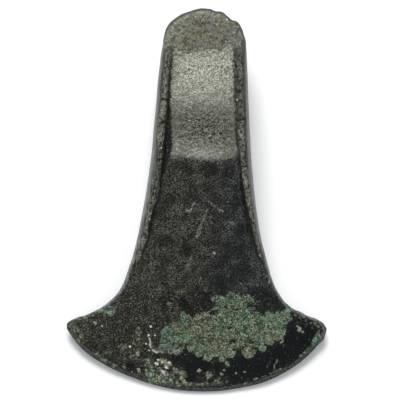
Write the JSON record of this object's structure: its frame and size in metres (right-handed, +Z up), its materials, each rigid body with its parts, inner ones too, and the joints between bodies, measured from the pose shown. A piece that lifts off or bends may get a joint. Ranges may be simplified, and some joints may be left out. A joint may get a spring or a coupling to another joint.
{
  "type": "bronze age axe head",
  "caption": "Cast flanged axe head with a round butt, a haft seat with a stop between low side flanges, and a broad crescent cutting edge, dark patina with green corrosion.",
  "frame": {"origin": "middle of the bounding box, on the surface the head lies on", "axes": "+Y from the cutting edge to the butt, +X across the blade, +Z up out of the face, as the head lies on its two lower flanges and the middle of its edge"},
  "size_m": [0.075, 0.1092, 0.018],
  "materials": {
    "patinated_bronze": "dark dull patina with green corrosion"
  },
  "bodies": {
    "root": {"axe_head": "patinated_bronze"}
  },
  "joints": []
}
